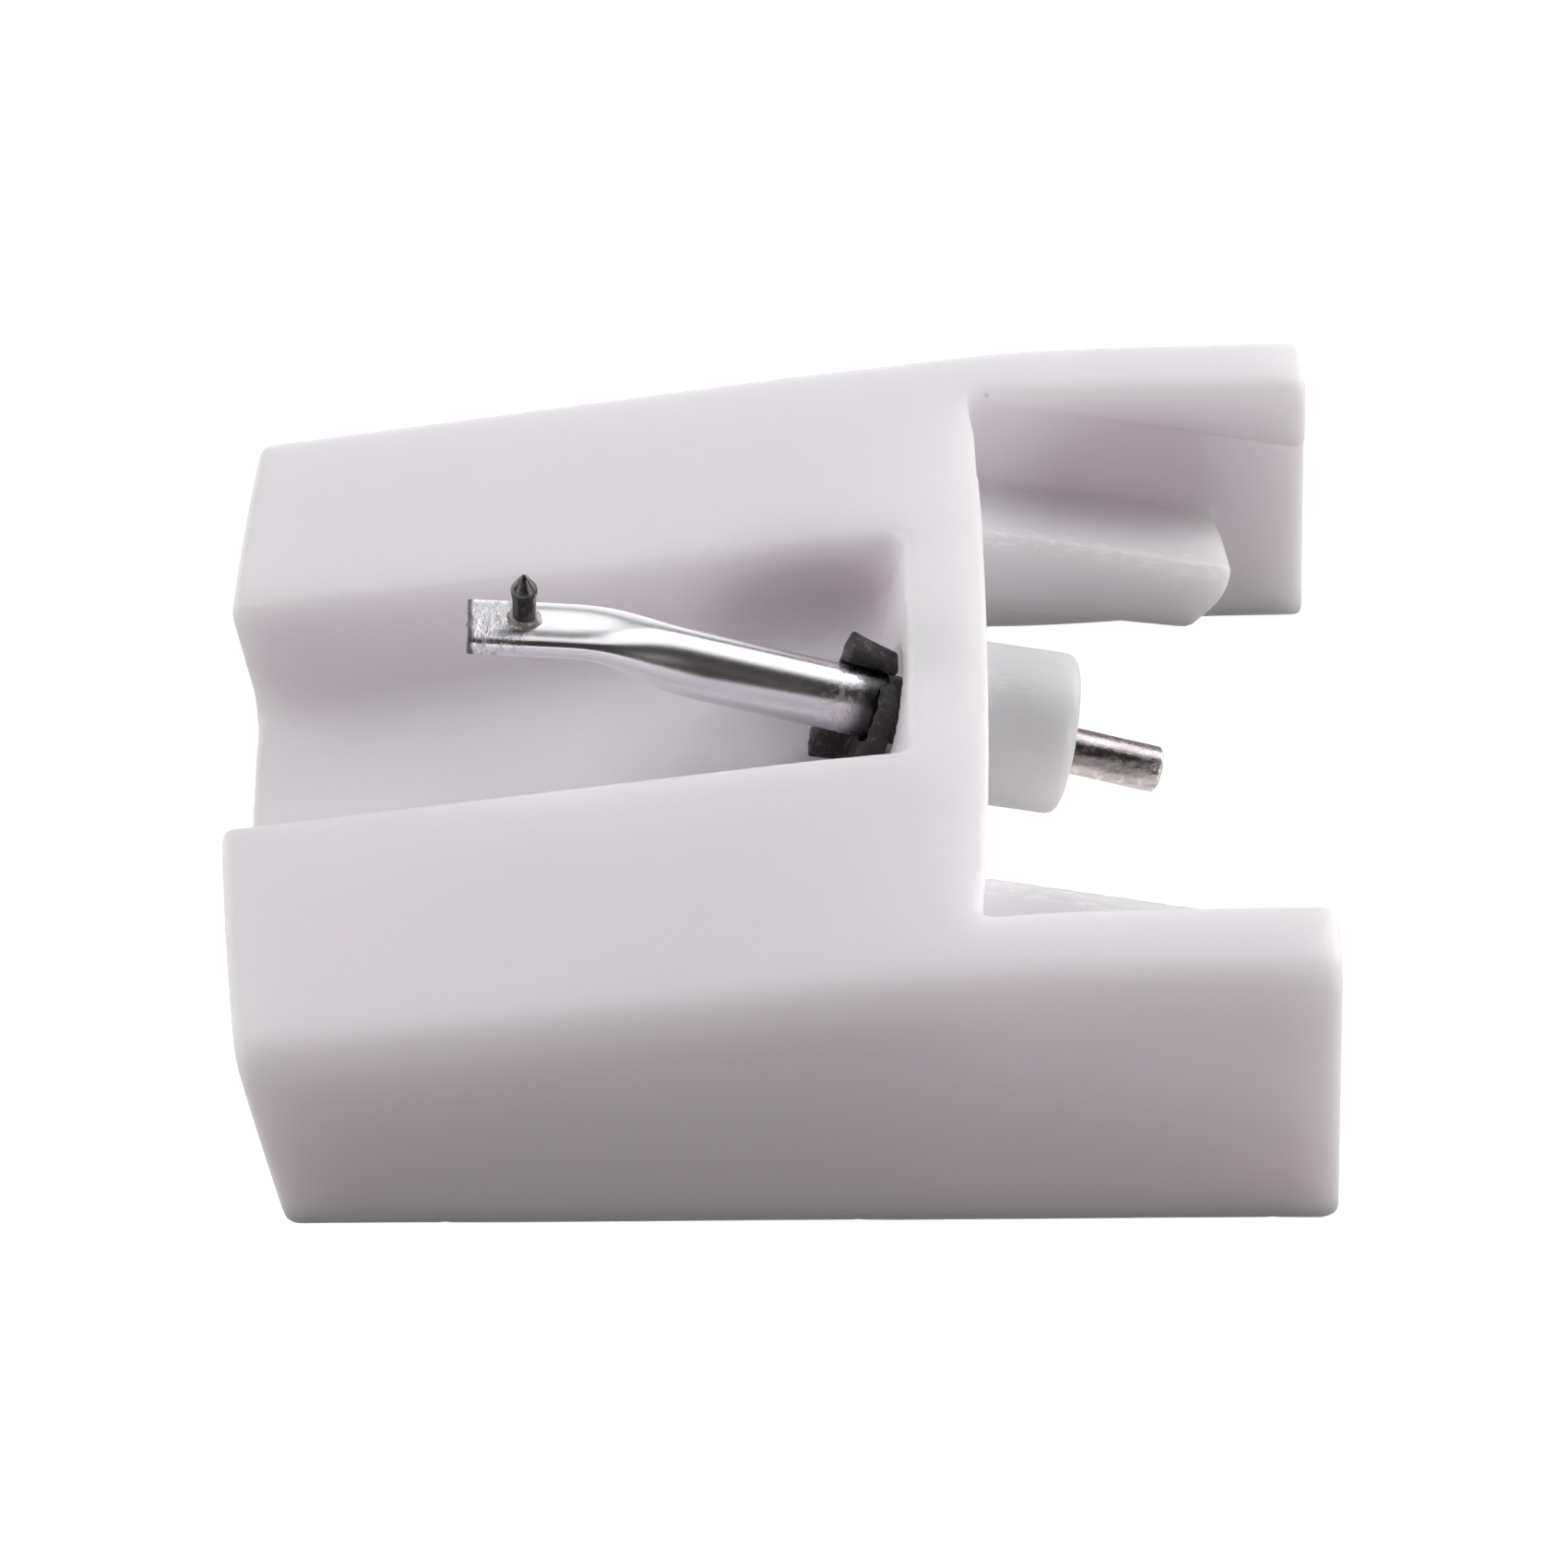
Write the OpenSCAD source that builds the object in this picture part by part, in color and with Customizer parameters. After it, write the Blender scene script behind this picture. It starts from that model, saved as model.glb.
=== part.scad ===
// Replacement stylus for a moving-magnet record player cartridge, lying on its back.
// X runs from the nose, where the tip is, to the two arms that plug on to the cartridge.
// Y runs across, with the mirror plane at zero. Z is up from the face it lies on.

/* [Holder] */
// Length of the holder from nose to arm ends
holder_length = 12.42; // [10:0.02:16]
// Width of the holder at the nose
nose_width = 10.66; // [9.8:0.02:12]
// Width of the holder at the arm ends
rear_width = 11.08; // [10.2:0.02:12.5]
// Height of the middle of the nose
nose_height = 2.87; // [2.5:0.01:3.3]
// Height of the level part behind the wedge
rear_height = 3.97; // [3.8:0.01:4.4]
// Slope of the wedge towards the nose
wedge_angle = 7.6; // [6:0.1:9]
// Radius that blends the wedge into the level part
wedge_blend = 32; // [15:1:45]
// Width of the flat ridge along the middle
ridge_width = 4.2; // [4:0.05:5]
// Radius that softens the edges of the ridge
ridge_round = 1; // [0.2:0.1:2]
// Slope of the faces that fall away beside the ridge
side_fall = 6; // [3:0.5:10]
// Radius of the long outer edges
edge_radius = 0.42; // [0.1:0.02:0.6]

/* [Nose] */
// Radius of the bow of the nose, seen from above
nose_bow = 65; // [30:5:120]
// Backward rake of the nose above the knee
rake_top = 6.8; // [2:0.2:10]
// Backward rake of the nose below the knee
rake_low = 12.4; // [8:0.2:18]
// Height of the knee between the two rakes
knee_height = 2.0; // [1.4:0.05:2.4]

/* [Channel] */
// Width of the channel that the cantilever lies in
channel_width = 3.7; // [3.4:0.02:4.1]
// Height of the channel floor at the nose
floor_height = 1.25; // [1:0.01:1.5]
// Rise of the channel floor towards the rear
floor_rise = 10.4; // [8:0.1:11]
// Radius where the channel walls meet the floor
floor_radius = 0.35; // [0.1:0.05:0.6]

/* [Plug] */
// Distance from the nose to the pivot, where the channel ends
pivot_setback = 7.51; // [7.2:0.01:7.8]
// Height of the pivot
pivot_z = 2.8; // [2.6:0.01:2.95]
// Downward tilt of the plug direction
plug_tilt = 12.5; // [10:0.1:14]
// Radius of the round pocket in front of the damper
pocket_radius = 1.2; // [1.14:0.01:1.35]
// Radius of the boss that enters the cartridge
boss_radius = 0.92; // [0.86:0.01:1.1]
// Distance from the pivot to the end of the boss
boss_reach = 2.06; // [1.9:0.01:2.2]
// Radius round the end of the boss
boss_round = 0.14; // [0.02:0.01:0.2]
// Radius of the bore that the magnet swings in
bore_radius = 0.67; // [0.66:0.01:0.74]

/* [Arms] */
// Thickness of the cross wall between the channel and the arms, along the plug axis
wall_thickness = 0.87; // [0.6:0.01:1.2]
// Radius of the bow of the cross wall's rear face
wall_bow = 150; // [60:5:300]
// Thickness of each arm at its top
arm_thickness = 1.14; // [1:0.01:1.25]
// Depth of the shallow relief in the inner face of each arm
relief_depth = 0.18; // [0.05:0.01:0.3]
// Height of the relief's upper edge above the plug axis
relief_height = 1.06; // [0.8:0.01:1.2]
// Radius of the upright corners of the arms
arm_corner = 0.22; // [0.05:0.01:0.35]

/* [Rails] */
// Gap between the two guide rails
rail_gap = 5.84; // [5.4:0.02:6.2]
// Reach of the rails from the pivot
rail_reach = 4.05; // [3.6:0.01:4.4]
// Height of the rail's inner edge above the plug axis
rail_top = 0.34; // [0.1:0.01:0.5]
// Depth of the rail's lower edge below the plug axis
rail_bottom = 0.92; // [0.8:0.01:1]
// Outward fall of the rail's upper face
rail_fall = 18.7; // [5:0.1:25]
// Upward taper of the rail's lower face
rail_taper = 3.8; // [0:0.1:5]
// Slant of the rail's end face
rail_end_slant = 30; // [10:1:40]
// Height of the upright part of the rail's end face, above the slant
rail_end_height = 0.5; // [0.2:0.05:0.8]
// Radius of the rail's inner edges
rail_edge = 0.1; // [0.02:0.01:0.2]

/* [Damper] */
// Thickness of the rubber block
damper_thickness = 0.62; // [0.4:0.01:0.8]
// Width of the rubber block
damper_width = 0.98; // [0.95:0.01:1.2]
// Height of the rubber block
damper_height = 1.62; // [1.5:0.01:1.7]
// Distance from the pivot down to the block's middle
damper_drop = 0.25; // [0.2:0.01:0.28]
// Radius of the block's long edges
damper_round = 0.15; // [0.05:0.01:0.2]
// Radius of the funnel in the block's front face
funnel_radius = 0.45; // [0.43:0.005:0.46]
// Depth of the funnel
funnel_depth = 0.3; // [0.2:0.01:0.5]

/* [Cantilever] */
// Downward tilt of the cantilever towards the rear
arm_tilt = 18.3; // [17:0.1:20]
// Outer diameter of the tube
tube_diameter = 0.77; // [0.7:0.01:0.8]
// Length of the round tube in front of the pivot
tube_front = 3; // [2.7:0.01:3.2]
// Length of the tube behind the pivot
tube_rear = 0.9; // [0.6:0.01:1.2]
// Length of the flattened end
pad_length = 1.14; // [0.9:0.01:1.3]
// Width of the flattened end
pad_width = 0.75; // [0.6:0.01:0.9]
// Thickness of the flattened end
pad_thickness = 0.31; // [0.24:0.01:0.4]
// Radius of the long edges of the flattened end
pad_round = 0.08; // [0.02:0.01:0.11]
// Tilt of the flattened end
pad_tilt = 5.1; // [3:0.1:8]
// Length over which the tube turns into the flattened end
neck_length = 0.85; // [0.6:0.01:1.1]

/* [Tip] */
// Distance from the front of the flattened end to the tip
tip_setback = 0.64; // [0.5:0.01:0.75]
// Lean of the shank and tip towards the rear
tip_lean = 1.5; // [0:0.1:6]
// Diameter of the shank
shank_diameter = 0.3; // [0.24:0.01:0.32]
// Height of the shank above the flattened end
shank_height = 0.43; // [0.3:0.01:0.6]
// Length of the shank below the flattened end
shank_tail = 0.06; // [0:0.01:0.1]
// Height of the diamond above the shank
diamond_height = 0.22; // [0.18:0.01:0.3]
// Radius of the diamond's point
point_radius = 0.018; // [0.01:0.001:0.03]
// Radius of the adhesive bead round the shank
bead_radius = 0.21; // [0.19:0.005:0.24]
// Height of the adhesive bead
bead_height = 0.06; // [0.03:0.01:0.1]
// How far out from the shank, as a share of its width, the bead is already low
bead_hollow = 0.4; // [0.2:0.05:0.5]

/* [Magnet] */
// Diameter of the magnet rod
magnet_diameter = 0.535; // [0.5:0.005:0.56]
// Length of the magnet inside the tube
magnet_inside = 1.0; // [0.8:0.01:1.3]
// Distance from the pivot to the end of the magnet
magnet_reach = 3.22; // [3.1:0.01:3.4]
// Radius round the end of the magnet
magnet_round = 0.05; // [0.01:0.01:0.1]

/* [Fits] */
// Gap between the tube and the hole in the damper
damper_clearance = 0.02; // [0.01:0.005:0.05]
// Gap that holds a bonded piece in its seat
bond_gap = 0.004; // [0.002:0.001:0.01]

/* [Hidden] */
$fn = 64;
past = 1;
far = 20;
// Depth to which a rail's root runs into its arm
rail_root = 0.26;
// Thickness of the slices that the neck is stretched between
slice = 0.01;
// Facets of the very large arcs
bow_facets = 360;
bow_lead = nose_bow - sqrt(nose_bow * nose_bow - channel_width * channel_width / 4);
nose_x = -holder_length / 2 - bow_lead;
rear_x = holder_length / 2;
pivot_x = -holder_length / 2 + pivot_setback;
blend_x = nose_x + (rear_height - nose_height) / tan(wedge_angle) + wedge_blend * tan(wedge_angle / 2);
blend_steps = 4;
taper = atan((rear_width - nose_width) / 2 / holder_length);
knee_x = nose_x + (nose_height - knee_height) * tan(rake_top);
arm_inside = rear_width / 2 - arm_thickness;
tube_radius = tube_diameter / 2;
magnet_radius = magnet_diameter / 2;
shank_radius = shank_diameter / 2;
// The neck joins the top of the tube's front end, so the flattened end starts from there
neck_x = pivot_x - tube_front * cos(arm_tilt) + tube_radius * sin(arm_tilt);
neck_z = pivot_z + tube_front * sin(arm_tilt) + tube_radius * cos(arm_tilt);
pad_start = neck_length / cos(pad_tilt);
tip_place = -pad_start - pad_length + tip_setback;

// Points of a polygon whose corners [x, y, radius] are rounded
function unit(v) = v / norm(v);
function rounded(c, n = 6) = [
    for (i = [0 : len(c) - 1])
        let (
            p = [c[i][0], c[i][1]],
            before = c[(i + len(c) - 1) % len(c)],
            after = c[(i + 1) % len(c)],
            u = unit([before[0], before[1]] - p),
            v = unit([after[0], after[1]] - p),
            half = acos(u * v) / 2,
            r = c[i][2],
            centre = p + unit(u + v) * r / sin(half),
            start = p + u * r / tan(half) - centre,
            end = p + v * r / tan(half) - centre,
            a = atan2(start[1], start[0]),
            turn = (atan2(end[1], end[0]) - a + 540) % 360 - 180
        )
        each r == 0 ? [p] : [for (k = [0 : n]) centre + r * [cos(a + turn * k / n), sin(a + turn * k / n)]]
];

// Moves its children into the frame of the plug: x along the plug axis, origin at the pivot
module plug_frame() {
    translate([pivot_x, 0, pivot_z]) rotate([0, plug_tilt, 0]) children();
}

// Moves its children into the frame of the cantilever: x along its axis, origin at the pivot
module arm_frame() {
    translate([pivot_x, 0, pivot_z]) rotate([0, arm_tilt, 0]) children();
}

// Moves its children on to the top of the flattened end, x to the rear
module pad_frame() {
    translate([neck_x, 0, neck_z]) rotate([0, pad_tilt, 0]) children();
}

// Moves its children into the frame of the tip: z along the shank, origin on the flattened end
module tip_frame() {
    pad_frame() translate([tip_place, 0, 0]) rotate([0, tip_lean - pad_tilt, 0]) children();
}

// Turns a section drawn in Y and Z into a bar along X, from x0 to x1
module bar(x0, x1) {
    translate([x0, 0, 0]) rotate([90, 0, 90]) linear_extrude(x1 - x0) children();
}

// Rod along X with its ends at x0 and x1 and a rounded end at x1
module round_rod(r, x0, x1, edge) {
    translate([x0, 0, 0]) rotate([0, 90, 0]) rotate_extrude()
        polygon(rounded([[0, 0, 0], [r, 0, 0], [r, x1 - x0, edge], [0, x1 - x0, 0]]));
}

// One side of the roof that the holder's top is cut to, where the blend slopes by angle a
module roof(a) {
    half = rear_width / 2;
    ridge = ridge_width / 2;
    drop = (half - ridge) * tan(side_fall);
    x = blend_x - wedge_blend * sin(a);
    translate([x, 0, rear_height - wedge_blend * (1 - cos(a))])
        rotate([0, -a, 0])
            translate([rear_x - x, 0, 0]) rotate([0, 0, taper]) bar(-2 * far, far)
                polygon(rounded([
                    [-far, -far, 0], [half, -far, 0], [half, -drop, edge_radius],
                    [ridge, 0, ridge_round], [-far, 0, 0]
                ]));
}

// Outer form: tapered plan, bowed and raked nose, wedge-shaped roof
module envelope() {
    intersection() {
        linear_extrude(far) polygon(rounded([
            [nose_x - past, -nose_width / 2 + past * tan(taper), 0],
            [rear_x, -rear_width / 2, arm_corner],
            [rear_x, rear_width / 2, arm_corner],
            [nose_x - past, nose_width / 2 - past * tan(taper), 0]
        ]));
        nose_side(nose_x, nose_height, rake_top);
        nose_side(knee_x, knee_height, rake_low);
        roofs();
    }
}

// Everything behind a bowed nose face that passes through [x, z] and leans forward by rake
module nose_side(x, z, rake) {
    translate([x, 0, z]) rotate([0, -rake, 0])
        translate([nose_bow, 0, -far]) cylinder(r = nose_bow, h = 2 * far, $fn = bow_facets);
}

module roofs() {
    intersection_for (k = [0 : blend_steps]) {
        intersection() {
            roof(wedge_angle * k / blend_steps);
            mirror([0, 1, 0]) roof(wedge_angle * k / blend_steps);
        }
    }
}

// Channel along the top, open at the nose, ending square to the plug axis
module channel() {
    half = channel_width / 2;
    intersection() {
        translate([nose_x, 0, floor_height]) rotate([0, -floor_rise, 0]) bar(-far, far)
            polygon(rounded([
                [-half, far, 0], [-half, 0, floor_radius], [half, 0, floor_radius], [half, far, 0]
            ]));
        plug_frame() translate([-2 * far, -far, -far]) cube(2 * far);
    }
}

// Opening between the arms, with the relief in their inner faces
module arm_gap() {
    intersection() {
        union() {
            gap_bar(arm_inside);
            intersection() {
                gap_bar(arm_inside + relief_depth);
                plug_frame() translate([-far, -far, -2 * far + relief_height]) cube(2 * far);
            }
        }
        translate([0, -far, -past]) cube([far, 2 * far, far]);
    }
}

// Space between two upright faces, ending at the bowed rear face of the cross wall
module gap_bar(half) {
    difference() {
        translate([pivot_x - past, -half, -far]) cube([far, 2 * half, 2 * far]);
        plug_frame() translate([wall_thickness - wall_bow, 0, -far])
            cylinder(r = wall_bow, h = 2 * far, $fn = bow_facets);
    }
}

// Guide rail on the inner face of the arm on the +Y side
module rail() {
    inner = rail_gap / 2;
    outer = arm_inside + relief_depth + rail_root;
    start = wall_thickness / 2;
    fall = (outer - inner) * tan(rail_fall);
    plug_frame() difference() {
        bar(start, rail_reach)
            polygon(rounded([
                [inner, -rail_bottom, rail_edge], [outer, -rail_bottom, 0],
                [outer, rail_top - fall, 0], [inner, rail_top, rail_edge]
            ]));
        translate([start, 0, -rail_bottom]) rotate([0, -rail_taper, 0])
            translate([0, 0, -far]) cube(far);
        translate([rail_reach, 0, rail_top - rail_end_height]) rotate([0, rail_end_slant, 0])
            translate([0, 0, -far]) cube(far);
    }
}

module holder() {
    color([0.87, 0.85, 0.88]) difference() {
        union() {
            difference() {
                envelope();
                arm_gap();
            }
            rail();
            mirror([0, 1, 0]) rail();
            plug_frame() round_rod(boss_radius, wall_thickness / 2, boss_reach, boss_round);
        }
        channel();
        plug_frame() rotate([0, -90, 0]) cylinder(r = pocket_radius, h = far);
        plug_frame() rotate([0, 90, 0]) cylinder(r = bore_radius, h = far);
    }
}

// Rubber block: its rear face lies on the channel's end wall, its front face is square to the tube
module damper() {
    half = damper_width / 2;
    top = damper_height / 2 - damper_drop;
    foot = top - damper_height;
    color([0.09, 0.08, 0.09]) difference() {
        intersection() {
            plug_frame() bar(-far, 0) polygon(rounded([
                [-half, foot, damper_round], [half, foot, damper_round],
                [half, top, damper_round], [-half, top, damper_round]
            ]));
            arm_frame() translate([-damper_thickness, -far, -far]) cube(2 * far);
        }
        arm_frame() rotate([0, 90, 0])
            cylinder(r = tube_radius + damper_clearance, h = 2 * far, center = true);
        arm_frame() translate([-damper_thickness, 0, 0]) rotate([0, 90, 0])
            cylinder(r1 = funnel_radius, r2 = tube_radius + damper_clearance, h = funnel_depth);
    }
}

// Aluminium tube, pressed flat at the front, with the shank's hole through the flat
module cantilever() {
    color([0.75, 0.75, 0.77]) difference() {
        union() {
            arm_frame() translate([-tube_front, 0, 0]) rotate([0, 90, 0])
                cylinder(r = tube_radius, h = tube_front + tube_rear);
            hull() {
                arm_frame() translate([-tube_front, 0, 0]) rotate([0, 90, 0])
                    cylinder(r = tube_radius, h = slice, $fn = 32);
                pad_slab(-pad_start - slice, -pad_start);
            }
            pad_slab(-pad_start - pad_length, -pad_start);
        }
        arm_frame() rotate([0, 90, 0])
            translate([0, 0, -tube_front]) cylinder(r = magnet_radius + bond_gap, h = 2 * far);
        tip_frame() cylinder(r = shank_radius + bond_gap, h = 2 * past, center = true);
    }
}

// Slice of the flattened end, with rounded long edges
module pad_slab(x0, x1) {
    half = pad_width / 2;
    pad_frame() bar(x0, x1) polygon(rounded([
        [-half, -pad_thickness, pad_round], [half, -pad_thickness, pad_round],
        [half, 0, pad_round], [-half, 0, pad_round]
    ]));
}

module magnet_rod() {
    color([0.52, 0.5, 0.5]) arm_frame()
        round_rod(magnet_radius, tube_rear - magnet_inside, magnet_reach, magnet_round);
}

module stylus_shank() {
    color([0.16, 0.15, 0.16]) tip_frame() translate([0, 0, -pad_thickness - shank_tail])
        cylinder(r = shank_radius, h = shank_tail + pad_thickness + shank_height);
}

// Diamond cone with a tiny rounded point, standing on the shank
module diamond_tip() {
    slope = atan(shank_radius / diamond_height);
    color([0.12, 0.11, 0.12]) tip_frame() translate([0, 0, shank_height]) rotate_extrude()
        polygon(concat(
            [[0, 0], [shank_radius, 0]],
            [for (k = [0 : 4]) let (a = slope + (90 - slope) * k / 4)
                [point_radius * cos(a), diamond_height - point_radius + point_radius * sin(a)]]
        ));
}

// Bead of adhesive in the corner between the shank and the flattened end
module tip_bead() {
    inner = shank_radius / 2;
    knee = shank_radius + (bead_radius - shank_radius) * bead_hollow;
    color([0.6, 0.58, 0.58]) difference() {
        pad_frame() translate([tip_place, 0, 0]) rotate_extrude() polygon([
            [inner, 0], [bead_radius, 0], [knee, bead_height * bead_hollow],
            [shank_radius, bead_height], [inner, bead_height]
        ]);
        tip_frame() cylinder(r = shank_radius + bond_gap, h = 2 * past, center = true);
    }
}

holder();
damper();
cantilever();
magnet_rod();
stylus_shank();
diamond_tip();
tip_bead();
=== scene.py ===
import math
import bpy
import numpy as np
from mathutils import Matrix, Vector


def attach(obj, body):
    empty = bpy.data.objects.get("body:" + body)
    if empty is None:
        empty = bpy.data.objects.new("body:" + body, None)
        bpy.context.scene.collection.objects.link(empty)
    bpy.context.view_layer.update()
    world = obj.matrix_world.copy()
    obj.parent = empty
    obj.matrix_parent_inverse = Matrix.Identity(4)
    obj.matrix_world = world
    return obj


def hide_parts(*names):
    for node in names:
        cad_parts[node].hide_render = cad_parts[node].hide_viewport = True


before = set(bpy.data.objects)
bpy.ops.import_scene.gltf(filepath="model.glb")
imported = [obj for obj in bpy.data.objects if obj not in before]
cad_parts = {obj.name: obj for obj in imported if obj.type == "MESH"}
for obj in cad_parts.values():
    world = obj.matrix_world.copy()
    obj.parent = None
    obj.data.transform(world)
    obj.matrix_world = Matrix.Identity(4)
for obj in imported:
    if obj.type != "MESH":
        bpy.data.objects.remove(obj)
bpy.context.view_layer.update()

# Camera: looks across the holder from the long side, 42 degrees above the floor and from far off,
# as the photograph does. The picture is turned by a degree and a half.
LOOK_AT = Vector((0.00010, -0.000058, 0.001735))
DISTANCE = 0.127
TURN, ELEVATION, ROLL = math.radians(0.59), math.radians(42), math.radians(1.45)
FOCAL_PIXELS, PICTURE_PIXELS, SENSOR_WIDTH = 12095, 1700, 36

away = Vector((
    math.sin(TURN) * math.cos(ELEVATION), -math.cos(TURN) * math.cos(ELEVATION), math.sin(ELEVATION)
))
level = Vector((math.cos(TURN), math.sin(TURN), 0))
upright = away.cross(level)
right = level * math.cos(ROLL) - upright * math.sin(ROLL)
up = level * math.sin(ROLL) + upright * math.cos(ROLL)
camera = bpy.data.objects.new("camera", bpy.data.cameras.new("camera"))
bpy.context.collection.objects.link(camera)
camera.data.sensor_width = SENSOR_WIDTH
camera.data.lens = FOCAL_PIXELS / PICTURE_PIXELS * SENSOR_WIDTH
camera.data.clip_start, camera.data.clip_end = 0.01, 2
camera.matrix_world = Matrix((
    (right.x, up.x, away.x, LOOK_AT.x + away.x * DISTANCE),
    (right.y, up.y, away.y, LOOK_AT.y + away.y * DISTANCE),
    (right.z, up.z, away.z, LOOK_AT.z + away.z * DISTANCE),
    (0, 0, 0, 1),
))
bpy.context.scene.camera = camera
bpy.context.scene.view_settings.view_transform = "Standard"


# Studio: a glowing white floor, eight soft boxes round the part and above it, and one small card. The
# floor shows in the shiny pieces but lights nothing, so the sides darken towards the foot as in the
# photograph.
class Value:
    """The output of a node, usable in arithmetic, which adds Math nodes."""

    def __init__(self, finish, socket):
        self.finish, self.socket = finish, socket

    def maths(self, operation, a, b=0.0, clamp=False):
        return self.finish.add("Math", {"operation": operation, "use_clamp": clamp}, {0: a, 1: b})

    def __add__(self, other):
        return self.maths("ADD", self, other)

    def __sub__(self, other):
        return self.maths("SUBTRACT", self, other)

    def __mul__(self, other):
        return self.maths("MULTIPLY", self, other)

    def clamped(self):
        return self.maths("ADD", self, 0.0, True)


class Finish:
    """A material with one Principled shader, whose even values are set here and whose pattern is added."""

    def __init__(self, name, **even):
        self.material = bpy.data.materials.new(name)
        self.material.use_nodes = True
        self.tree = self.material.node_tree
        self.shader = self.tree.nodes["Principled BSDF"]
        for socket, value in even.items():
            self.shader.inputs[socket.replace("_", " ")].default_value = value

    def add(self, kind, settings, inputs, out=0):
        node = self.tree.nodes.new("ShaderNode" + kind)
        for name, value in settings.items():
            setattr(node, name, value)
        for name, value in inputs.items():
            self.join(value, node.inputs[name])
        return Value(self, node.outputs[out])

    def join(self, value, socket):
        if isinstance(value, Value):
            self.tree.links.new(value.socket, socket)
        else:
            socket.default_value = value

    def drive(self, name, value):
        self.join(value, self.shader.inputs[name])

    def millimetres(self):
        place = self.add("TexCoord", {}, {}, "Object")
        return self.add("VectorMath", {"operation": "SCALE"}, {0: place, "Scale": 1000.0})

    def split(self, place):
        """The three coordinates of a place."""
        return [self.add("SeparateXYZ", {}, {0: place}, axis) for axis in range(3)]

    def distance(self, place, middle):
        return self.add("VectorMath", {"operation": "DISTANCE"}, {0: place, 1: middle}, 1)

    def noise(self, place, scale, detail=2.0, roughness=0.5, stretch=(1, 1, 1)):
        place = self.add("VectorMath", {"operation": "MULTIPLY"}, {0: place, 1: stretch})
        return self.add("TexNoise", {}, {
            "Vector": place, "Scale": scale, "Detail": detail, "Roughness": roughness
        })

    def steps(self, value, low, high, to_low=0.0, to_high=1.0):
        return self.add("MapRange", {"interpolation_type": "SMOOTHSTEP"}, {
            "Value": value, "From Min": low, "From Max": high, "To Min": to_low, "To Max": to_high
        })

    def mix(self, share, a, b):
        return self.add("Mix", {"data_type": "RGBA"}, {0: share, 6: a, 7: b}, 2)

    def bump(self, height, distance, strength=1.0):
        self.drive("Normal", self.add("Bump", {}, {
            "Height": height, "Distance": distance, "Strength": strength
        }))


def put(name, points, faces):
    """A mesh object from points in millimetres."""
    mesh = bpy.data.meshes.new(name)
    mesh.from_pydata([tuple(c / 1000 for c in p) for p in points], [], faces)
    mesh.update()
    piece = bpy.data.objects.new(name, mesh)
    bpy.context.collection.objects.link(piece)
    return piece


def soft_light(name, width, height, place, power, colour=(1, 1, 1)):
    """An area light that looks at the middle of the floor."""
    lamp = bpy.data.lights.new(name, "AREA")
    lamp.shape, lamp.size, lamp.size_y = "RECTANGLE", width, height
    lamp.energy, lamp.color = power, colour
    light = bpy.data.objects.new(name, lamp)
    bpy.context.collection.objects.link(light)
    light.location = place
    light.rotation_mode = "QUATERNION"
    light.rotation_quaternion = (Vector((0, 0, 0)) - Vector(place)).to_track_quat("-Z", "Y")


HALF_FLOOR, FLOOR_LEVEL = 600, -0.002
floor = put("floor", [
    (x * HALF_FLOOR, y * HALF_FLOOR, FLOOR_LEVEL) for x, y in ((-1, -1), (1, -1), (1, 1), (-1, 1))
], [(0, 1, 2, 3)])
paper = Finish(
    "floor paper", Roughness=1.0, Base_Color=(0.9, 0.9, 0.9, 1), Emission_Color=(1, 1, 1, 1),
    Emission_Strength=0.8,
)
floor.data.materials.append(paper.material)
floor.visible_diffuse = False

world = bpy.data.worlds.new("studio")
bpy.context.scene.world = world
world.use_nodes = True
faint_light = world.node_tree.nodes["Background"].inputs
faint_light["Color"].default_value, faint_light["Strength"].default_value = (1, 0.8, 0.85, 1), 0.02

# Name, turn and height in degrees, power and colour
SOFT_BOXES = (
    ("front right", 60, 12, 0.1060, (1.0, 0.965, 0.945)),
    ("rear right", 120, 12, 0.1350, (1.0, 0.985, 0.955)),
    ("behind", 180, 12, 0.0290, (0.96, 0.98, 1.0)),
    ("rear left", 240, 12, 0.0510, (0.985, 0.985, 1.0)),
    ("front left", 300, 12, 0.0590, (1.0, 0.93, 0.9)),
    ("rear right, high", 135, 42, 0.0800, (0.975, 0.955, 1.0)),
    ("left, high", 270, 42, 0.1090, (1.0, 0.985, 0.985)),
    ("above", 120, 72, 0.0290, (0.96, 0.965, 1.0)),
)
BOX_DISTANCE, BOX_SIZE = 0.16, 0.09
for name, turn, height, power, colour in SOFT_BOXES:
    turn, height = math.radians(turn), math.radians(height)
    place = [BOX_DISTANCE * c for c in (
        math.sin(turn) * math.cos(height), -math.cos(turn) * math.cos(height), math.sin(height)
    )]
    soft_light("soft box " + name, BOX_SIZE, BOX_SIZE, place, power, colour)
soft_light("small card for the metal", 0.05, 0.03, (0.005, 0.115, 0.105), 0.009)

# Holder: one moulding in white plastic, with the wedge-shaped body, the channel, the cross wall, the boss,
# two arms and two guide rails. Every edge and corner is as soft as the mould leaves it, so the whole form
# is one function of place, in millimetres, which is below zero inside the plastic.
LENGTH, NOSE_WIDTH, REAR_WIDTH, NOSE_HEIGHT, REAR_HEIGHT = 12.42, 10.66, 11.08, 2.87, 3.97
WEDGE, BLEND, RIDGE, SIDE_FALL = math.radians(7.6), 32, 2.1, math.tan(math.radians(6))
RIDGE_SOFTNESS, EDGE_LOSS = 0.15, 0.07
NOSE_BOW, KNEE_HEIGHT, RAKE_TOP, RAKE_LOW = 65, 2.0, math.radians(6.8), math.radians(12.4)
CHANNEL_WIDTH, FLOOR_HEIGHT, FLOOR_RISE = 3.7, 1.25, math.radians(10.4)
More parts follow.
